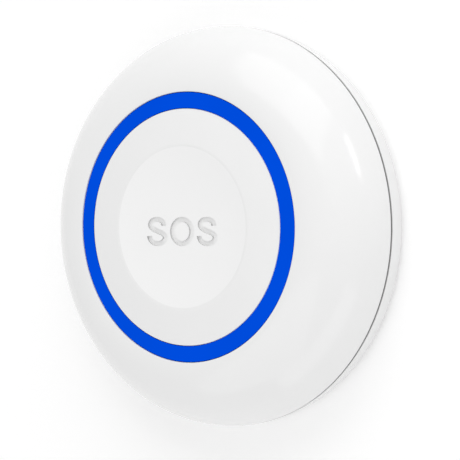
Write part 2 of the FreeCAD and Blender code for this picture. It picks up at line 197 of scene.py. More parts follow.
COLLAR_RADIUS = DOOR_NECK_RADIUS + RUNNING_GAP
RECESS_RADIUS = DOOR_RADIUS + RUNNING_GAP
WELL_RADIUS = LUG_RADIUS + FIT_GAP
WELL_OUTER_RADIUS = WELL_RADIUS + 1.2 * MM

# Screws: three hold the cover to the shell, three hold the board
SCREW_COUNT = 3
CASE_SCREW_CIRCLE = BODY_RADIUS - 6.6 * MM
CASE_SCREW_ANGLE = math.radians(90)
CASE_SHANK_RADIUS = 1.15 * MM
CASE_HEAD_RADIUS = 2.1 * MM
CASE_HEAD_TOP = CASE_HEAD_FACE + 1.4 * MM
CASE_BOSS_WALL = 1.45 * MM
CASE_RECESS_RADIUS = CASE_HEAD_RADIUS + 0.3 * MM
CASE_POST_RADIUS = CASE_RECESS_RADIUS + CASE_BOSS_WALL / 2
CASE_PILOT_TOP = CASE_SCREW_TIP + 0.6 * MM
BOARD_SCREW_CIRCLE = BODY_RADIUS - 9.2 * MM
BOARD_SCREW_ANGLE = math.radians(30)
BOARD_SHANK_RADIUS = 0.95 * MM
BOARD_HEAD_RADIUS = 1.8 * MM
BOARD_PILOT_TOP = BOARD_SCREW_TIP + 0.6 * MM
BOARD_BOSS_WALL = 1.15 * MM
THREAD_GAP = 0.02 * MM
THREAD_PITCH = 0.8 * MM
THREAD_DEPTH = 0.2 * MM
CROSS_WIDTH = 0.6 * MM
CROSS_DEPTH = 0.7 * MM
HEAD_ROUNDING = 0.45
BOSS_RIB_THICKNESS = 1.0 * MM
BOSS_RIB_TOP = SHELL_EDGE - 1.0 * MM

# Printed boards: copper lines in rows under the mask, and square pads in some cells of a loose grid,
# which is counted in cells per metre
TRACE_WIDTH = 0.12 * MM
TRACE_LENGTH = 5.3 * MM
TRACE_ROW = 0.9 * MM
PAD_CELLS = 330.0
PAD_SCATTER = 0.6
PAD_CHOICE = 0.62
PAD_REACH = 0.2

# Steps round a full turn or part of one, and along curved edges. Edges blunter than the smooth angle
# are shaded smooth.
TURN_STEPS = 240
SECTOR_STEPS = 16
ROD_STEPS = 48
DOME_STEPS = 44
INNER_WALL_STEPS = 12
CROWN_STEPS = 16
STROKE_STEPS = 16
SLOT_STEPS = 6
ROUND_STEPS = 4
SMOOTH_ANGLE = math.radians(26)

# Camera: the view is turned and tipped from straight above, and aimed at the seam's plane
VIEW_YAW = math.radians(37.93)
VIEW_PITCH = math.radians(0.95)
VIEW_DISTANCE = 0.8969
FOCAL_PIXELS = 4481.0
IMAGE_SIDE = 460
SEAM_CENTRE_PIXEL = (230.1, 226.0)
SENSOR_WIDTH = 36.0
NEAREST_VIEW = 0.05
FARTHEST_VIEW = 20.0

# Studio: white floor and backdrop as seen, and the fill light that the backdrop gives
FLOOR_SIDE = 6.0
FLOOR_TONE = (0.9, 0.9, 0.9, 1)
FLOOR_LIFT = 0.09
WHITE = (1, 1, 1, 1)
FILL_LIGHT = 0.675
LAMP_DISTANCE = 0.8

# Lamps: name, compass direction and height in degrees, width and height in metres, power in watts
SOFTBOXES = (
    ("top_softbox", 80, 30, 0.8, 0.8, 1.95),
    ("right_softbox", 50, 30, 0.8, 0.8, 0.6),
    ("low_softbox", 260, 50, 0.8, 0.8, 0.97),
    ("rim_lamp", 300, 12, 0.9, 0.32, 0.62),
    ("edge_strip", 33, 2.5, 0.26, 0.05, 0.4),
)


def select_nothing():
    if bpy.context.object and bpy.context.object.mode != "OBJECT":
        bpy.ops.object.mode_set(mode="OBJECT")
    bpy.ops.object.select_all(action="DESELECT")


def select_only(piece):
    select_nothing()
    piece.select_set(True)
    bpy.context.view_layer.objects.active = piece


def arc_points(centre, radii, first, last, steps):
    """Points of an elliptic arc in the half section, angles in degrees from the outward direction."""
    points = []
    for step in range(steps + 1):
        angle = math.radians(first + (last - first) * step / steps)
        points.append((centre[0] + radii[0] * math.cos(angle), centre[1] + radii[1] * math.sin(angle)))
    return points


def conic_points(start, corner, end, fullness, steps):
    """Points of a curve that leaves start and reaches end along the lines to the corner."""
    points = []
    for step in range(steps + 1):
        share = step / steps
        weights = ((1 - share) ** 2, 2 * fullness * share * (1 - share), share ** 2)
        points.append(tuple(sum(w * p[k] for w, p in zip(weights, (start, corner, end))) / sum(weights)
                            for k in range(2)))
    return points


def point_at(name, radius, height):
    """A new mesh of one vertex on the half section, selected in edit mode."""
    select_nothing()
    bpy.ops.mesh.primitive_plane_add(size=MM, location=(0, 0, 0))
    piece = bpy.context.object
    piece.name = name
    piece.data.name = name
    bpy.ops.object.mode_set(mode="EDIT")
    bpy.ops.mesh.select_all(action="SELECT")
    bpy.ops.mesh.merge(type="CENTER")
    bpy.ops.transform.translate(value=(radius, 0, height))
    return piece


def turned(name, outline, steps=TURN_STEPS):
    """Draws a half section point by point and spins it round the centre axis."""
    piece = point_at(name, *outline[0])
    for here, there in zip(outline, outline[1:]):
        move = (there[0] - here[0], 0, there[1] - here[1])
        bpy.ops.mesh.extrude_region_move(TRANSFORM_OT_translate={"value": move})
    bpy.ops.mesh.select_all(action="SELECT")
    bpy.ops.mesh.spin(steps=steps, angle=FULL_TURN, center=(0, 0, 0), axis=(0, 0, 1))
    bpy.ops.mesh.select_all(action="SELECT")
    bpy.ops.mesh.remove_doubles(threshold=WELD)
    bpy.ops.mesh.normals_make_consistent(inside=False)
    bpy.ops.object.mode_set(mode="OBJECT")
    return piece


def sector(outer, inner, low, high, middle, width):
    """Part of a tube: a standing rectangle, spun through the width about the angle middle."""
    piece = point_at("sector", inner, low)
    bpy.ops.mesh.extrude_region_move(TRANSFORM_OT_translate={"value": (0, 0, high - low)})
    bpy.ops.mesh.select_all(action="SELECT")
    bpy.ops.mesh.extrude_region_move(TRANSFORM_OT_translate={"value": (outer - inner, 0, 0)})
    bpy.ops.mesh.select_all(action="SELECT")
    bpy.ops.mesh.spin(steps=SECTOR_STEPS, angle=width, center=(0, 0, 0), axis=(0, 0, 1))
    bpy.ops.mesh.select_all(action="SELECT")
    bpy.ops.mesh.remove_doubles(threshold=WELD)
    bpy.ops.mesh.normals_make_consistent(inside=False)
    bpy.ops.object.mode_set(mode="OBJECT")
    corners = [vertex.co for vertex in piece.data.vertices]
    start = math.atan2(sum(place.y for place in corners), sum(place.x for place in corners))
    piece.data.transform(Matrix.Rotation(middle - start, 4, "Z"))
    return piece


def bake_place(piece):
    """Moves the piece's place, turn and scale into its mesh."""
    select_only(piece)
    bpy.ops.object.transform_apply(location=True, rotation=True, scale=True)


def rod(radius, low, high, x=0.0):
    """Standing cylinder."""
    bpy.ops.object.select_all(action="DESELECT")
    bpy.ops.mesh.primitive_cylinder_add(vertices=ROD_STEPS, radius=radius, depth=high - low,
                                        location=(x, 0, (low + high) / 2))
    piece = bpy.context.object
    bake_place(piece)
    return piece


def block(length, width, low, high, x=0.0):
    """Upright box."""
    bpy.ops.object.select_all(action="DESELECT")
    bpy.ops.mesh.primitive_cube_add(size=1, location=(x, 0, (low + high) / 2))
    piece = bpy.context.object
    piece.scale = (length, width, high - low)
    bake_place(piece)
    return piece


def turned_copies(piece, count, first_angle):
    """The piece and its copies evenly round the centre axis, each with its own mesh."""
    copies = []
    for number in range(count):
        copy = piece.copy()
        copy.data = piece.data.copy()
        bpy.context.collection.objects.link(copy)
        copy.data.transform(Matrix.Rotation(first_angle + number * FULL_TURN / count, 4, "Z"))
        copies.append(copy)
    bpy.data.objects.remove(piece)
    return copies


def combine(piece, tool, operation):
    """Adds or cuts a tool solid, and deletes the tool."""
    select_only(piece)
    change = piece.modifiers.new(operation.title(), "BOOLEAN")
    change.operation = operation
    change.solver = "EXACT"
    change.object = tool
    bpy.ops.object.modifier_apply(modifier=change.name)
    bpy.data.objects.remove(tool)


def add_solids(piece, tools):
    for tool in tools:
        combine(piece, tool, "UNION")


def cut_solids(piece, tools):
    for tool in tools:
        combine(piece, tool, "DIFFERENCE")


def joined(pieces):
    """One mesh of pieces that don't touch each other."""
    select_nothing()
    for piece in pieces:
        piece.select_set(True)
    bpy.context.view_layer.objects.active = pieces[0]
    bpy.ops.object.join()
    return pieces[0]


def seat(piece, body, slot, material, *nodes):
    """Finishes a piece: its shading, its material, the body that it moves with and what it stands for."""
    select_only(piece)
    bpy.ops.object.shade_smooth_by_angle(angle=SMOOTH_ANGLE)
    piece.data.materials.clear()
    piece.data.materials.append(material)
    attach(piece, body)
    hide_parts(*nodes)


def new_material(name):
    material = bpy.data.materials.new(name)
    material.use_nodes = True
    return material, material.node_tree.nodes, material.node_tree.links


def noise(nodes, links, scale, detail=2.0):
    """Noise on Object coordinates, scale in bumps per metre."""
    place = nodes.new("ShaderNodeTexCoord")
    pattern = nodes.new("ShaderNodeTexNoise")
    pattern.inputs["Scale"].default_value = scale
    pattern.inputs["Detail"].default_value = detail
    links.new(place.outputs["Object"], pattern.inputs["Vector"])
    return pattern.outputs["Fac"]


def spread(nodes, links, value, low, high, start=0.3, end=0.7):
    """Maps a pattern to the range low to high."""
    span = nodes.new("ShaderNodeMapRange")
    span.inputs["From Min"].default_value = start
    span.inputs["From Max"].default_value = end
    span.inputs["To Min"].default_value = low
    span.inputs["To Max"].default_value = high
    links.new(value, span.inputs["Value"])
    return span.outputs["Result"]


def tone_mix(nodes, links, value, dark, light):
    """Colours a pattern from dark to light."""
    ramp = nodes.new("ShaderNodeValToRGB")
    ramp.color_ramp.elements[0].position = 0.3
    ramp.color_ramp.elements[0].color = (*dark, 1)
    ramp.color_ramp.elements[1].position = 0.7
    ramp.color_ramp.elements[1].color = (*light, 1)
    links.new(value, ramp.inputs["Fac"])
    return ramp.outputs["Color"]


def add_bump(nodes, links, value, strength, depth):
    """Relief from a pattern, depth in metres."""
    bump = nodes.new("ShaderNodeBump")
    bump.inputs["Strength"].default_value = strength
    bump.inputs["Distance"].default_value = depth
    links.new(value, bump.inputs["Height"])
    links.new(bump.outputs["Normal"], nodes["Principled BSDF"].inputs["Normal"])


def moulded_plastic(name, dark, light, rough_low, rough_high, grain_scale, grain_depth):
    """Moulded plastic with faint tone clouds, uneven gloss and a fine grain."""
    material, nodes, links = new_material(name)
    shader = nodes["Principled BSDF"]
    clouds = noise(nodes, links, 90.0, 3.0)
    links.new(tone_mix(nodes, links, clouds, dark, light), shader.inputs["Base Color"])
    gloss = noise(nodes, links, 400.0)
    links.new(spread(nodes, links, gloss, rough_low, rough_high), shader.inputs["Roughness"])
    add_bump(nodes, links, noise(nodes, links, grain_scale, 4.0), 1.0, grain_depth)
    return material


def metal(name, dark, light, rough_low, rough_high, grain_scale):
    """Bare or plated metal with tone clouds and uneven gloss."""
    material, nodes, links = new_material(name)
    shader = nodes["Principled BSDF"]
    shader.inputs["Metallic"].default_value = 1.0
    clouds = noise(nodes, links, 600.0, 3.0)
    links.new(tone_mix(nodes, links, clouds, dark, light), shader.inputs["Base Color"])
    grain = noise(nodes, links, grain_scale, 3.0)
    links.new(spread(nodes, links, grain, rough_low, rough_high), shader.inputs["Roughness"])
    add_bump(nodes, links, grain, 0.4, 0.004 * MM)
    return material


def calc(nodes, links, operation, first, second=None, third=None):
    """Math node, each input a socket or a plain number."""
    node = nodes.new("ShaderNodeMath")
    node.operation = operation
    for slot, value in enumerate((first, second, third)):
        if isinstance(value, (int, float)):
            node.inputs[slot].default_value = value
        elif value is not None:
            links.new(value, node.inputs[slot])
    return node.outputs["Value"]


def axis_place(nodes, links):
    """Distance from the centre axis, height, and angle about the axis."""
    place = nodes.new("ShaderNodeTexCoord")
    split = nodes.new("ShaderNodeSeparateXYZ")
    links.new(place.outputs["Object"], split.inputs["Vector"])
    east, north, height = (split.outputs[axis] for axis in "XYZ")
    square = calc(nodes, links, "MULTIPLY", east, east)
    radius = calc(nodes, links, "SQRT", calc(nodes, links, "MULTIPLY_ADD", north, north, square))
    return radius, height, calc(nodes, links, "ARCTAN2", north, east)


def lights_wave(nodes, links, angle):
    """Cosine that is one over the middle of each of the six lights."""
    turns = calc(nodes, links, "MULTIPLY_ADD", angle, LED_COUNT, -LED_COUNT * LED_FIRST_ANGLE)
    return calc(nodes, links, "COSINE", turns)


def near_value(nodes, links, value, middle, reach):
    """One where the value is within reach of the middle, else zero."""
    off = calc(nodes, links, "ABSOLUTE", calc(nodes, links, "SUBTRACT", value, middle))
    return calc(nodes, links, "LESS_THAN", off, reach)


def front_face(nodes, links, radius, height):
    """One on the ring's sloping front face and on its side above the cap's rim, and zero further down."""
    slope = (RING_CREST - RING_EDGE) / RING_WIDTH
    level = calc(nodes, links, "MULTIPLY_ADD", radius, slope, height)
    face_level = RING_EDGE + slope * RING_OUTER_RADIUS - RING_ROUND / 2
    face = calc(nodes, links, "GREATER_THAN", level, face_level)
    side = calc(nodes, links, "GREATER_THAN", height, CAP_EDGE - RING_SIDE_LIT)
    return calc(nodes, links, "MAXIMUM", face, side)


def light_guide(name, colour, unlit, strength_low, strength_high):
    """Lit blue plastic, a trace brighter over each of the lights below it."""
    material, nodes, links = new_material(name)
    shader = nodes["Principled BSDF"]
    shader.inputs["Base Color"].default_value = (*unlit, 1)
    shader.inputs["Emission Color"].default_value = (*colour, 1)
    shader.inputs["Specular IOR Level"].default_value = 0.0
    radius, height, angle = axis_place(nodes, links)
    wave = lights_wave(nodes, links, angle)
    glow = spread(nodes, links, wave, strength_low, strength_high, -1.0, 1.0)
    lit = calc(nodes, links, "MULTIPLY", glow, front_face(nodes, links, radius, height))
    links.new(lit, shader.inputs["Emission Strength"])
    links.new(spread(nodes, links, noise(nodes, links, 500.0), 0.3, 0.36), shader.inputs["Roughness"])
    return material


def pick_colour(nodes, links, chosen, off, on):
    """Mixes two colours, each a socket or a plain colour, by a pattern that runs from zero to one."""
    mix = nodes.new("ShaderNodeMix")
    mix.data_type = "RGBA"
    links.new(chosen, mix.inputs["Factor"])
    for name, colour in (("A", off), ("B", on)):
        port = next(port for port in mix.inputs if port.name == name and port.type == "RGBA")
        if isinstance(colour, tuple):
            port.default_value = (*colour, 1)
        else:
            links.new(colour, port)
    return next(port for port in mix.outputs if port.type == "RGBA")


def retone(material, chosen, tone):
    """Gives part of a material another base colour."""
    nodes, links = material.node_tree.nodes, material.node_tree.links
    base = nodes["Principled BSDF"].inputs["Base Color"]
    links.new(pick_colour(nodes, links, chosen, base.links[0].from_socket, tone), base)


def paint_shade_in_seam(material, tone):
    """Paints shade on the ledge and the shell's foot inside the seam: a darker tone that stands in for the
    shadow in the gap.
    """
    nodes, links = material.node_tree.nodes, material.node_tree.links
    radius, height = axis_place(nodes, links)[:2]
    level = near_value(nodes, links, height, SEAM_MIDDLE, SEAM_SHADE_REACH)
    inside = calc(nodes, links, "LESS_THAN", radius, COVER_RIM_RADIUS - FIT_GAP)
    retone(material, calc(nodes, links, "MULTIPLY", level, inside), tone)


def tone_disc_and_shade_letters(material, disc, wall):
    """Disc lighter than the rim round it, and painted shade on the walls of the engraved letters, a darker
    tone that stands in for the shade in the grooves.
    """
    nodes, links = material.node_tree.nodes, material.node_tree.links
    radius, height = axis_place(nodes, links)[:2]
    inside = calc(nodes, links, "LESS_THAN", radius, DISC_RADIUS - DISC_SLOPE / 2)
    retone(material, inside, disc)
    # Painted shade: the band of heights between the disc's face and the grooves' floor, which is the
    # letters' walls
    below = near_value(nodes, links, height, DISC_FACE - LETTER_DEPTH / 2, LETTER_DEPTH / 2 - FACE_GAP)
    retone(material, calc(nodes, links, "MULTIPLY", inside, below), wall)


def printed_board(name, mask, trace, pad):
    """Board with solder mask, copper lines that show through it, and tinned pads."""
    material, nodes, links = new_material(name)
    shader = nodes["Principled BSDF"]
    place = nodes.new("ShaderNodeTexCoord")
    lines = nodes.new("ShaderNodeTexBrick")
    for port, value in (("Scale", 1.0), ("Mortar Size", TRACE_WIDTH), ("Mortar Smooth", 0.0),
                        ("Brick Width", TRACE_LENGTH), ("Row Height", TRACE_ROW)):
        lines.inputs[port].default_value = value
    links.new(place.outputs["Object"], lines.inputs["Vector"])
    cells = nodes.new("ShaderNodeTexVoronoi")
    cells.distance = "CHEBYCHEV"
    cells.inputs["Scale"].default_value = PAD_CELLS
    cells.inputs["Randomness"].default_value = PAD_SCATTER
    links.new(place.outputs["Object"], cells.inputs["Vector"])
    colour = nodes.new("ShaderNodeSeparateColor")
    links.new(cells.outputs["Color"], colour.inputs["Color"])
    picked = calc(nodes, links, "GREATER_THAN", colour.outputs["Red"], PAD_CHOICE)
    square = calc(nodes, links, "LESS_THAN", cells.outputs["Distance"], PAD_REACH)
    pads = calc(nodes, links, "MULTIPLY", picked, square)
    masked = pick_colour(nodes, links, lines.outputs["Fac"], mask, trace)
    links.new(pick_colour(nodes, links, pads, masked, pad), shader.inputs["Base Color"])
    links.new(pads, shader.inputs["Metallic"])
    links.new(spread(nodes, links, noise(nodes, links, 700.0), 0.25, 0.4), shader.inputs["Roughness"])
    raised = calc(nodes, links, "MAXIMUM", lines.outputs["Fac"], pads)
    add_bump(nodes, links, raised, 0.5, 0.03 * MM)
    return material


def led_package(name, case, window, glow):
    """Cream package with a lit window in the middle of each light."""
    material, nodes, links = new_material(name)
    shader = nodes["Principled BSDF"]
    radius, _, angle = axis_place(nodes, links)
    along = near_value(nodes, links, radius, LED_CIRCLE, LED_WINDOW_ALONG)
    across = calc(nodes, links, "GREATER_THAN", lights_wave(nodes, links, angle),
                  math.cos(LED_COUNT * LED_WINDOW_ACROSS / LED_CIRCLE))
    middle = calc(nodes, links, "MULTIPLY", along, across)
    duller = tuple(0.93 * part for part in case)
    tone = tone_mix(nodes, links, noise(nodes, links, 1500.0), case, duller)
    links.new(pick_colour(nodes, links, middle, tone, window), shader.inputs["Base Color"])
    shader.inputs["Emission Color"].default_value = (*glow, 1)
    links.new(calc(nodes, links, "MULTIPLY", middle, 0.6), shader.inputs["Emission Strength"])
    links.new(spread(nodes, links, noise(nodes, links, 900.0), 0.3, 0.45), shader.inputs["Roughness"])
    return material


def turned_metal(name, dark, light):
    """Bright metal with fine circular marks about the centre axis."""
    material, nodes, links = new_material(name)
    shader = nodes["Principled BSDF"]
    shader.inputs["Metallic"].default_value = 1.0
    ripple = nodes.new("ShaderNodeTexNoise")
    ripple.noise_dimensions = "1D"
    ripple.inputs["Scale"].default_value = 9000.0
    links.new(axis_place(nodes, links)[0], ripple.inputs["W"])
    marks = ripple.outputs["Fac"]
    clouds = noise(nodes, links, 300.0, 3.0)
    links.new(tone_mix(nodes, links, clouds, dark, light), shader.inputs["Base Color"])
    links.new(spread(nodes, links, marks, 0.22, 0.36), shader.inputs["Roughness"])
    add_bump(nodes, links, marks, 0.5, 0.003 * MM)
    return material


def shell_outline():
    """Half section of the front shell: round foot, full shoulder, rounded opening, lip and inner wall."""
    round_ = SHELL_EDGE_ROUND
    foot = SHELL_FOOT + SHELL_FOOT_ROUND
    foot_inner = BODY_RADIUS - SHELL_FOOT_ROUND
    rim = OPENING_RADIUS + round_
    bore = BODY_RADIUS - SHELL_WALL
    pocket = RING_FLANGE_RADIUS + FIT_GAP
    outside = arc_points((foot_inner, foot), (SHELL_FOOT_ROUND, SHELL_FOOT_ROUND), -90, 0, ROUND_STEPS)
    outside += conic_points((BODY_RADIUS, foot), (BODY_RADIUS, SHELL_EDGE), (rim, SHELL_EDGE),
                            SHOULDER_FULLNESS, DOME_STEPS)[1:]
    outside += arc_points((rim, SHELL_EDGE - round_), (round_, round_), 90, 180, ROUND_STEPS)[1:]
    inner = (bore - OPENING_RADIUS, SHELL_EDGE - SHELL_WALL - SHELL_FOOT)
    inside = arc_points((OPENING_RADIUS, SHELL_FOOT), inner, *INNER_WALL_ARC, INNER_WALL_STEPS)
    return outside + [(OPENING_RADIUS, LIP_UNDERSIDE), (pocket, LIP_UNDERSIDE)] + inside + [
        (bore, TONGUE_TOP + FIT_GAP), (bore, SHELL_FOOT), (foot_inner, SHELL_FOOT)]


def boss_room():
    """Space that a boss may fill: under the dome, a little into its wall and clear of the tongue."""
    clear = TONGUE_RADIUS - TONGUE_WALL - FIT_GAP
    deep = SHELL_WALL / 3
    radii = (BODY_RADIUS - SHELL_WALL - OPENING_RADIUS + deep, SHELL_EDGE - SHELL_WALL - SHELL_FOOT + deep)
    dome = arc_points((OPENING_RADIUS, SHELL_FOOT), radii, *BOSS_ROOM_ARC, INNER_WALL_STEPS)
    return turned("boss_room", [(0.0, SHELL_FOOT), (clear, SHELL_FOOT), (clear, TONGUE_TOP + FIT_GAP),
                                (dome[0][0], TONGUE_TOP + FIT_GAP)] + dome + [(0.0, dome[-1][1])])


def bosses(radius, foot, circle, first_angle):
    """Screw bosses that hang from the dome, each with a rib to the wall."""
    boss = rod(radius, foot, SHELL_EDGE, x=circle)
    rib = block(BODY_RADIUS - circle, BOSS_RIB_THICKNESS, foot + radius, BOSS_RIB_TOP,
                x=(BODY_RADIUS + circle) / 2)
    combine(boss, rib, "UNION")
    return turned_copies(boss, SCREW_COUNT, first_angle)


def front_shell():
    """Domed shell with bosses for the case screws and the board's, and their pilot holes."""
    shell = turned("front_shell", shell_outline())
    posts = bosses(CASE_SHANK_RADIUS + CASE_BOSS_WALL, SHELL_FOOT, CASE_SCREW_CIRCLE, CASE_SCREW_ANGLE)
    posts += bosses(BOARD_SHANK_RADIUS + BOARD_BOSS_WALL, BOARD_TOP + FACE_GAP, BOARD_SCREW_CIRCLE,
                    BOARD_SCREW_ANGLE)
    posts = joined(posts)
    combine(posts, boss_room(), "INTERSECT")
    combine(shell, posts, "UNION")
    case_hole = rod(CASE_SHANK_RADIUS + THREAD_GAP, 0.0, CASE_PILOT_TOP, x=CASE_SCREW_CIRCLE)
    board_hole = rod(BOARD_SHANK_RADIUS + THREAD_GAP, 0.0, BOARD_PILOT_TOP, x=BOARD_SCREW_CIRCLE)
    holes = turned_copies(case_hole, SCREW_COUNT, CASE_SCREW_ANGLE)
    holes += turned_copies(board_hole, SCREW_COUNT, BOARD_SCREW_ANGLE)
    combine(shell, joined(holes), "DIFFERENCE")
    return shell


def ring_outline():
    """Half section of the light ring: the flange, and the sloping front face with chamfered edges."""
    round_ = RING_ROUND
    return [
        (RING_INNER_RADIUS, RING_FOOT), (RING_FLANGE_RADIUS, RING_FOOT),
        (RING_FLANGE_RADIUS, RING_FLANGE_TOP), (RING_OUTER_RADIUS, RING_FLANGE_TOP),
        (RING_OUTER_RADIUS, RING_EDGE - round_),
        (RING_OUTER_RADIUS - round_, RING_EDGE), (RING_INNER_RADIUS + round_, RING_CREST),
        (RING_INNER_RADIUS, RING_CREST - round_), (RING_INNER_RADIUS, RING_FOOT),
    ]


def glow_ring():
    """Light ring with a leg down to each light."""
    ring = turned("glow_ring", ring_outline())
    leg = sector(LED_CIRCLE + LED_DEPTH / 2, CAP_RADIUS + HOOK_REACH + FIT_GAP, RING_LEG_FOOT,
                 (RING_FOOT + RING_FLANGE_TOP) / 2, 0.0, RING_LEG_WIDTH)
    combine(ring, joined(turned_copies(leg, LED_COUNT, LED_FIRST_ANGLE)), "UNION")
    return ring


def crown_height(radius):
    """Height of the cap's crown, which falls from the disc's edge to the rim."""
    share = (radius ** 2 - DISC_RADIUS ** 2) / (CAP_RADIUS ** 2 - DISC_RADIUS ** 2)
    return DISC_EDGE - share * (DISC_EDGE - CAP_EDGE)


def cap_outline():
    """Half section of the cap: sunk disc, crown, rounded rim, skirt and the plate's underside."""
    start = CAP_RADIUS - CAP_EDGE_ROUND
    top = [(0.0, DISC_FACE), (DISC_RADIUS - DISC_SLOPE, DISC_FACE)]
    for step in range(CROWN_STEPS + 1):
        radius = DISC_RADIUS + (start - DISC_RADIUS) * step / CROWN_STEPS
        top.append((radius, crown_height(radius)))
    edge = arc_points((start, crown_height(start) - CAP_EDGE_ROUND), (CAP_EDGE_ROUND, CAP_EDGE_ROUND),
                      90, 0, ROUND_STEPS + 2)[1:]
    skirt = CAP_RADIUS - CAP_SKIRT
    under = DISC_FACE - CAP_PLATE
    return top + edge + [(CAP_RADIUS, SKIRT_FOOT), (skirt, SKIRT_FOOT),
                         (skirt, crown_height(skirt) - CAP_PLATE), (DISC_RADIUS, under), (0.0, under)]


def stroke_solid(curve):
    """Turns a flat centreline into a standing band with the stroke's thickness, widened sideways."""
    for point in curve.data.splines[0].bezier_points:
        point.radius = 1.0
    curve.data.resolution_u = STROKE_STEPS
    curve.data.extrude = LETTER_DEPTH
    select_only(curve)
    bpy.ops.object.convert(target="MESH")
    band = bpy.context.object
    thicken = band.modifiers.new("Stroke", "SOLIDIFY")
    thicken.thickness = LETTER_STROKE
    thicken.offset = 0
    thicken.use_even_offset = True
    bpy.ops.object.modifier_apply(modifier=thicken.name)
    band.data.transform(Matrix.Diagonal((LETTER_WIDENING, 1, 1, 1)))
    return band


def letter_o():
    """The O, a band along an oval."""
    select_nothing()
    bpy.ops.curve.primitive_bezier_circle_add(radius=1, location=(0, 0, 0))
    curve = bpy.context.object
    curve.data.transform(Matrix.Diagonal((O_REACH[0] / LETTER_WIDENING, O_REACH[1], 1, 1)))
    return stroke_solid(curve)


def letter_s():
    """The S, a band through seven points, each with the direction in which the pen passes it."""
    select_nothing()
    bpy.ops.curve.primitive_bezier_curve_add(location=(0, 0, 0))
    curve = bpy.context.object
    spline = curve.data.splines[0]
    spline.bezier_points.add(len(S_PATH) - len(spline.bezier_points))
    for point, (place, pull) in zip(spline.bezier_points, S_PATH):
        middle = Vector((place[0] / LETTER_WIDENING, place[1], 0)) * MM
        reach = Vector((pull[0] / LETTER_WIDENING, pull[1], 0)) * MM
        point.handle_left_type = "FREE"
        point.handle_right_type = "FREE"
        point.co = middle
        point.handle_left = middle - reach
        point.handle_right = middle + reach
    return stroke_solid(curve)


def letter_cutters():
    """S, O and S as solids that reach from inside the cap to just above its disc."""
    solids = []
    for letter, column in ((letter_s(), -1), (letter_o(), 0), (letter_s(), 1)):
        letter.data.transform(Matrix.Translation(LETTERS_CENTRE + Vector((column * LETTER_STEP, 0, 0))))
        solids.append(letter)
    return solids


def cap_ribs():
    """Star of three bars under the cap's plate, each as deep as the plate's slope leaves it."""
    under = DISC_FACE - CAP_PLATE
    reach = CAP_RADIUS - CAP_SKIRT / 2
    under_edge = crown_height(CAP_RADIUS - CAP_SKIRT) - CAP_PLATE
    bar = block(2 * reach, CAP_RIB_THICKNESS, LEG_FOOT, SHELL_EDGE)
    bars = turned_copies(bar, CAP_RIB_PAIRS, CAP_RIB_FIRST_ANGLE)
    add_solids(bars[0], bars[1:])
    end = reach - FACE_GAP
    room = turned("rib_room", [(0.0, under - CAP_RIB_HEIGHT), (end, under_edge - CAP_RIB_HEIGHT),
                               (end, under_edge + CAP_PLATE / 2), (DISC_RADIUS, under + CAP_PLATE / 2),
                               (0.0, under + CAP_PLATE / 2)])
    combine(bars[0], room, "INTERSECT")
    return bars[0]


def cap_hooks():
    """Legs that go on down from the skirt, each with a hook that catches under the light ring."""
    leg = sector(CAP_RADIUS - SET_BACK, CAP_RADIUS - CAP_SKIRT + SET_BACK, LEG_FOOT, SKIRT_FOOT + CAP_SKIRT,
                 0.0, HOOK_WIDTH)
    hook = sector(CAP_RADIUS + HOOK_REACH, CAP_RADIUS - CAP_SKIRT / 2, SKIRT_FOOT + SET_BACK, HOOK_TOP,
                  0.0, HOOK_WIDTH * SIDE_SHARE)
    combine(leg, hook, "UNION")
    return joined(turned_copies(leg, HOOK_COUNT, HOOK_FIRST_ANGLE))


def press_cap():
    """Cap with ribs, middle post and hooked legs under it, and the letters engraved in its disc."""
    cap = turned("press_cap", cap_outline())
    post = rod(POST_RADIUS, POST_FOOT, DISC_FACE - CAP_PLATE / 2)
    add_solids(cap, [cap_ribs(), post, cap_hooks()])
    cut_solids(cap, letter_cutters())
    return cap


def cover_outline():
    """Half section of the cover from the door's recess round the rim, the tongue and the battery well."""
    chamfer = COVER_REAR_CHAMFER
    return [
        (RECESS_RADIUS, 0.0), (COVER_REAR_RADIUS - chamfer, 0.0), (COVER_REAR_RADIUS, chamfer),
        (COVER_RIM_RADIUS, COVER_RIM), (TONGUE_RADIUS, COVER_RIM), (TONGUE_RADIUS, TONGUE_TOP),
        (TONGUE_RADIUS - TONGUE_WALL, TONGUE_TOP), (COVER_REAR_RADIUS - COVER_WALL, COVER_FLOOR),
        (WELL_OUTER_RADIUS, COVER_FLOOR), (WELL_OUTER_RADIUS, COVER_TOP), (WELL_RADIUS, COVER_TOP),
        (WELL_RADIUS, COLLAR_TOP), (COLLAR_RADIUS, COLLAR_TOP), (COLLAR_RADIUS, COLLAR_FOOT),
        (RECESS_RADIUS, COLLAR_FOOT), (RECESS_RADIUS, 0.0),
    ]


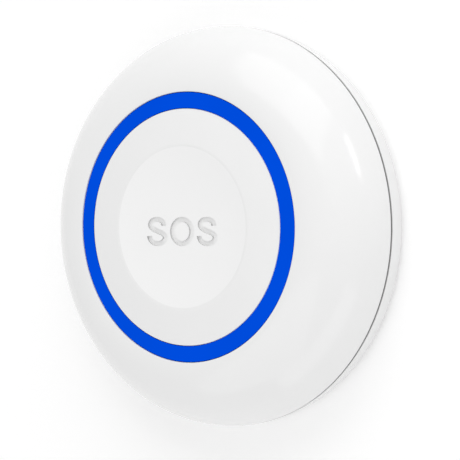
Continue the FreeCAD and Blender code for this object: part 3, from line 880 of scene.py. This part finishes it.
def back_cover():
    """Rear cover with screw posts, ribs, the collar that the door locks under, its stops and notches."""
    cover = turned("back_cover", cover_outline())
    post = rod(CASE_POST_RADIUS, COVER_FLOOR / 2, SHELL_FOOT - FACE_GAP, x=CASE_SCREW_CIRCLE)
    combine(cover, joined(turned_copies(post, SCREW_COUNT, CASE_SCREW_ANGLE)), "UNION")
    rib_start = WELL_OUTER_RADIUS - FIT_GAP
    rib_end = COVER_REAR_RADIUS - COVER_WALL / 2
    rib = block(rib_end - rib_start, COVER_RIB_THICKNESS, COVER_FLOOR / 2, COVER_RIB_TOP,
                x=(rib_end + rib_start) / 2)
    combine(cover, joined(turned_copies(rib, COVER_RIB_COUNT, 0.0)), "UNION")
    lug_step = FULL_TURN / LUG_COUNT
    stop_width = lug_step - LUG_WIDTH - DOOR_TWIST - 2 * LUG_PLAY
    stop = sector(WELL_RADIUS + 4 * FIT_GAP, COLLAR_RADIUS + FIT_GAP, (COLLAR_FOOT + COLLAR_TOP) / 2,
                  DOOR_NECK_TOP, 0.0, stop_width)
    combine(cover, joined(turned_copies(stop, LUG_COUNT, (lug_step - DOOR_TWIST) / 2)), "UNION")
    notch = sector(WELL_RADIUS + FACE_GAP, COLLAR_RADIUS / 2, COLLAR_FOOT - FACE_GAP, COLLAR_TOP + FACE_GAP,
                   0.0, LUG_WIDTH + 2 * LUG_PLAY)
    combine(cover, joined(turned_copies(notch, LUG_COUNT, -DOOR_TWIST)), "DIFFERENCE")
    recess = rod(CASE_RECESS_RADIUS, -OVERCUT, CASE_HEAD_TOP, x=CASE_SCREW_CIRCLE)
    passage = rod(CASE_SHANK_RADIUS + FIT_GAP, 0.0, SHELL_FOOT + OVERCUT, x=CASE_SCREW_CIRCLE)
    combine(recess, passage, "UNION")
    combine(cover, joined(turned_copies(recess, SCREW_COUNT, CASE_SCREW_ANGLE)), "DIFFERENCE")
    return cover


def door_outline():
    """Half section of the door: a plate with a rounded edge, and the neck that the lugs stand on."""
    round_ = DOOR_EDGE_ROUND
    edge = arc_points((DOOR_RADIUS - round_, DOOR_FACE + round_), (round_, round_), -90, 0, ROUND_STEPS)
    neck_inner = DOOR_NECK_RADIUS - DOOR_NECK_WALL
    return [(0.0, DOOR_FACE)] + edge + [
        (DOOR_RADIUS, DOOR_TOP), (DOOR_NECK_RADIUS, DOOR_TOP), (DOOR_NECK_RADIUS, DOOR_NECK_TOP),
        (neck_inner, DOOR_NECK_TOP), (neck_inner, DOOR_TOP), (0.0, DOOR_TOP)]


def coin_slot():
    """Slot cutter with rounded ends: a block whose four standing edges are bevelled to half its width."""
    cutter = block(COIN_SLOT_LENGTH, COIN_SLOT_WIDTH, DOOR_FACE - OVERCUT, DOOR_FACE + COIN_SLOT_DEPTH)
    bpy.ops.object.mode_set(mode="EDIT")
    bpy.ops.mesh.select_all(action="DESELECT")
    bpy.ops.object.mode_set(mode="OBJECT")
    for edge in cutter.data.edges:
        ends = [cutter.data.vertices[index].co for index in edge.vertices]
        edge.select = abs(ends[0].z - ends[1].z) > MM
    bpy.ops.object.mode_set(mode="EDIT")
    bpy.ops.mesh.select_mode(type="EDGE")
    bpy.ops.mesh.bevel(offset=COIN_SLOT_ROUND, segments=SLOT_STEPS, affect="EDGES")
    bpy.ops.mesh.select_mode(type="VERT")
    bpy.ops.object.mode_set(mode="OBJECT")
    return cutter


def battery_door():
    """Round door with a coin slot, a rib over the slot, and lugs on its neck."""
    door = turned("battery_lid", door_outline())
    rib = block(COIN_SLOT_LENGTH + 2 * COIN_RIB_WALL, COIN_SLOT_WIDTH + 2 * COIN_RIB_WALL,
                (DOOR_FACE + DOOR_TOP) / 2 + COIN_SLOT_DEPTH / 2, COIN_RIB_TOP)
    lug = sector(LUG_RADIUS, DOOR_NECK_RADIUS - DOOR_NECK_WALL / 2, DOOR_NECK_TOP - LUG_HEIGHT,
                 DOOR_NECK_TOP - SET_BACK, 0.0, LUG_WIDTH * SIDE_SHARE)
    add_solids(door, [rib, joined(turned_copies(lug, LUG_COUNT, 0.0))])
    combine(door, coin_slot(), "DIFFERENCE")
    return door


def screw_outline(head_radius, head_low, seat, shank_radius, tip):
    """Half section of a pan head screw: a domed head, then a shank with thread ridges and a point."""
    edge = (seat - head_low) * HEAD_ROUNDING
    head = [(0.0, head_low)]
    head += arc_points((head_radius - edge, head_low + edge), (edge, edge), -90, 0, ROUND_STEPS)
    core = shank_radius - THREAD_DEPTH
    shank = [(head_radius, seat), (core, seat)]
    ridge = seat + THREAD_PITCH
    while ridge + THREAD_PITCH < tip:
        shank += [(core, ridge - THREAD_PITCH / 4), (shank_radius, ridge), (core, ridge + THREAD_PITCH / 4)]
        ridge += THREAD_PITCH
    return head + shank + [(core, tip - THREAD_PITCH / 2), (core / 2, tip), (0.0, tip)]


def screws(name, outline, circle, head_radius, head_low, first_angle):
    """Three screws on a circle, their points up, each head with a cross recess."""
    one = turned(name, outline, ROD_STEPS)
    for size in ((head_radius, CROSS_WIDTH), (CROSS_WIDTH, head_radius)):
        combine(one, block(*size, head_low - OVERCUT, head_low + CROSS_DEPTH), "DIFFERENCE")
    one.data.transform(Matrix.Translation((circle, 0, 0)))
    group = joined(turned_copies(one, SCREW_COUNT, first_angle))
    group.name = name
    group.data.name = name
    return group


def housing_screws():
    """Screws that hold the cover to the shell."""
    outline = screw_outline(CASE_HEAD_RADIUS, CASE_HEAD_FACE, CASE_HEAD_TOP, CASE_SHANK_RADIUS,
                            CASE_SCREW_TIP)
    return screws("case_screws", outline, CASE_SCREW_CIRCLE, CASE_HEAD_RADIUS, CASE_HEAD_FACE,
                  CASE_SCREW_ANGLE)


def board_screws():
    """Screws that hold the board to the shell."""
    outline = screw_outline(BOARD_HEAD_RADIUS, BOARD_HEAD_FACE, BOARD_UNDERSIDE, BOARD_SHANK_RADIUS,
                            BOARD_SCREW_TIP)
    return screws("pcb_screws", outline, BOARD_SCREW_CIRCLE, BOARD_HEAD_RADIUS, BOARD_HEAD_FACE,
                  BOARD_SCREW_ANGLE)


def add_camera():
    """Camera at the photo's angle and distance, with the seam's centre at its place in the picture."""
    out_of_button = Vector((-math.sin(VIEW_YAW) * math.cos(VIEW_PITCH), math.sin(VIEW_PITCH),
                            -math.cos(VIEW_YAW) * math.cos(VIEW_PITCH)))
    button_right = Vector((0, -1, 0)).cross(out_of_button).normalized()
    button_up = out_of_button.cross(button_right)
    turn = Matrix((button_right, button_up, out_of_button)).transposed()
    shift = [(pixel - IMAGE_SIDE / 2) / FOCAL_PIXELS * VIEW_DISTANCE for pixel in SEAM_CENTRE_PIXEL]
    away = Vector((*shift, VIEW_DISTANCE))
    bpy.ops.object.camera_add()
    camera = bpy.context.object
    camera.data.sensor_width = SENSOR_WIDTH
    camera.data.lens = FOCAL_PIXELS / IMAGE_SIDE * SENSOR_WIDTH
    camera.data.clip_start = NEAREST_VIEW
    camera.data.clip_end = FARTHEST_VIEW
    place = Matrix((turn[0], -turn[1], -turn[2])).transposed().to_4x4()
    place.translation = Vector((0, 0, SEAM_MIDDLE)) - turn.transposed() @ away
    camera.matrix_world = place
    bpy.context.scene.camera = camera


def add_floor():
    """Floor that looks white with the object's shadow on it, and is pale for the light that it returns."""
    bpy.ops.object.select_all(action="DESELECT")
    bpy.ops.mesh.primitive_plane_add(size=FLOOR_SIDE, location=(0, 0, 0))
    floor = bpy.context.object
    floor.name = "floor"
    material, nodes, links = new_material("pale_floor")
    nodes.remove(nodes["Principled BSDF"])
    matte = nodes.new("ShaderNodeBsdfDiffuse")
    matte.inputs["Color"].default_value = FLOOR_TONE
    bright = nodes.new("ShaderNodeBsdfDiffuse")
    bright.inputs["Color"].default_value = WHITE
    lift = nodes.new("ShaderNodeEmission")
    lift.inputs["Strength"].default_value = FLOOR_LIFT
    seen = nodes.new("ShaderNodeAddShader")
    links.new(bright.outputs["BSDF"], seen.inputs[0])
    links.new(lift.outputs["Emission"], seen.inputs[1])
    pick = nodes.new("ShaderNodeMixShader")
    links.new(direct_rays(nodes, links), pick.inputs["Fac"])
    links.new(matte.outputs["BSDF"], pick.inputs[1])
    links.new(seen.outputs["Shader"], pick.inputs[2])
    links.new(pick.outputs["Shader"], nodes["Material Output"].inputs["Surface"])
    floor.data.materials.append(material)


def direct_rays(nodes, links):
    """One for rays from the camera and for mirrored and refracted ones."""
    rays = nodes.new("ShaderNodeLightPath").outputs
    either = calc(nodes, links, "MAXIMUM", rays["Is Camera Ray"], rays["Is Glossy Ray"])
    return calc(nodes, links, "MAXIMUM", either, rays["Is Transmission Ray"])


def add_world():
    """Backdrop that is seen white and gives the fill light."""
    world = bpy.context.scene.world or bpy.data.worlds.new("studio")
    bpy.context.scene.world = world
    world.use_nodes = True
    nodes, links = world.node_tree.nodes, world.node_tree.links
    background = nodes["Background"]
    background.inputs["Color"].default_value = WHITE
    strength = spread(nodes, links, direct_rays(nodes, links), FILL_LIGHT, 1.0, 0.0, 1.0)
    links.new(strength, background.inputs["Strength"])


def add_softbox(name, azimuth, elevation, width, height, power):
    """Soft light that looks at the button."""
    turn, rise = math.radians(azimuth), math.radians(elevation)
    back = Vector((math.cos(turn) * math.cos(rise), math.sin(turn) * math.cos(rise), math.sin(rise)))
    bpy.ops.object.light_add(type="AREA", location=back * LAMP_DISTANCE)
    lamp = bpy.context.object
    lamp.name = name
    lamp.rotation_euler = back.to_track_quat("Z", "Y").to_euler()
    lamp.data.shape = "RECTANGLE"
    lamp.data.size = width
    lamp.data.size_y = height
    lamp.data.energy = power


# Materials of the dressed pieces
white_shell = moulded_plastic("satin_white_shell", (0.875, 0.875, 0.875), (0.885, 0.885, 0.885),
                              0.14, 0.17, 9000.0, 0.002 * MM)
white_cap = moulded_plastic("satin_white_cap", (0.875, 0.875, 0.875), (0.885, 0.885, 0.885),
                            0.42, 0.46, 9000.0, 0.002 * MM)
screw_steel = metal("zinc_plated_steel", (0.55, 0.55, 0.54), (0.68, 0.68, 0.66), 0.28, 0.4, 3000.0)
# Painted shade: the ledge and the shell's foot inside the seam are darkened, for the shadow in the gap.
paint_shade_in_seam(white_shell, (0.45, 0.45, 0.45))
# The disc takes a lighter tone; the darker tone on the letters' walls is painted shade.
tone_disc_and_shade_letters(white_cap, (0.93, 0.93, 0.93), (0.62, 0.62, 0.62))
blue_guide = light_guide("lit_blue_guide", (0.0, 0.064, 0.65), (0.0, 0.01, 0.08), 0.98, 1.02)

# Hidden pieces that keep their own solids: a material and the nodes that wear it
inner_looks = (
    (moulded_plastic("white_reflector", (0.8, 0.8, 0.8), (0.85, 0.85, 0.85),
                     0.3, 0.4, 5000.0, 0.004 * MM),
     ("led_reflector",)),
    (moulded_plastic("black_moulding", (0.012, 0.012, 0.013), (0.02, 0.02, 0.021),
                     0.35, 0.5, 5000.0, 0.01 * MM),
     ("battery_holder", "switch_body", "switch_plunger", "controller_chip")),
    (moulded_plastic("antenna_ceramic", (0.62, 0.6, 0.55), (0.72, 0.7, 0.65),
                     0.45, 0.6, 8000.0, 0.01 * MM),
     ("chip_antenna",)),
    (printed_board("green_board", (0.006, 0.1, 0.03), (0.015, 0.17, 0.05), (0.7, 0.68, 0.62)),
     ("circuit_board",)),
    (printed_board("blue_board", (0.006, 0.03, 0.14), (0.015, 0.06, 0.22), (0.72, 0.6, 0.3)),
     ("radio_board",)),
    (led_package("led_package", (0.75, 0.72, 0.62), (0.5, 0.55, 0.6), (0.0, 0.1, 1.0)),
     tuple("ring_led_%d" % (number + 1) for number in range(LED_COUNT))),
    (metal("plated_steel", (0.65, 0.65, 0.63), (0.73, 0.73, 0.71), 0.24, 0.34, 2500.0),
     ("positive_contact", "negative_contact", "radio_shield", "switch_cover")),
    (turned_metal("cell_steel", (0.66, 0.66, 0.64), (0.72, 0.72, 0.7)), ("coin_cell",)),
)
for look, wearers in inner_looks:
    for wearer in wearers:
        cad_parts[wearer].data.materials.clear()
        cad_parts[wearer].data.materials.append(look)

seat(front_shell(), "housing", "housing_white", white_shell, "front_housing")
seat(glow_ring(), "housing", "ring_blue", blue_guide, "light_ring")
seat(press_cap(), "button", "cap_white", white_cap, "button_cap")
seat(back_cover(), "housing", "housing_white", white_shell, "rear_cover")
seat(battery_door(), "door", "housing_white", white_shell, "battery_door")
seat(housing_screws(), "housing", "screw_steel", screw_steel, "housing_screws")
seat(board_screws(), "housing", "screw_steel", screw_steel, "board_screws")

add_camera()
add_floor()
add_world()
for softbox in SOFTBOXES:
    add_softbox(*softbox)
bpy.context.scene.view_settings.view_transform = "Standard"
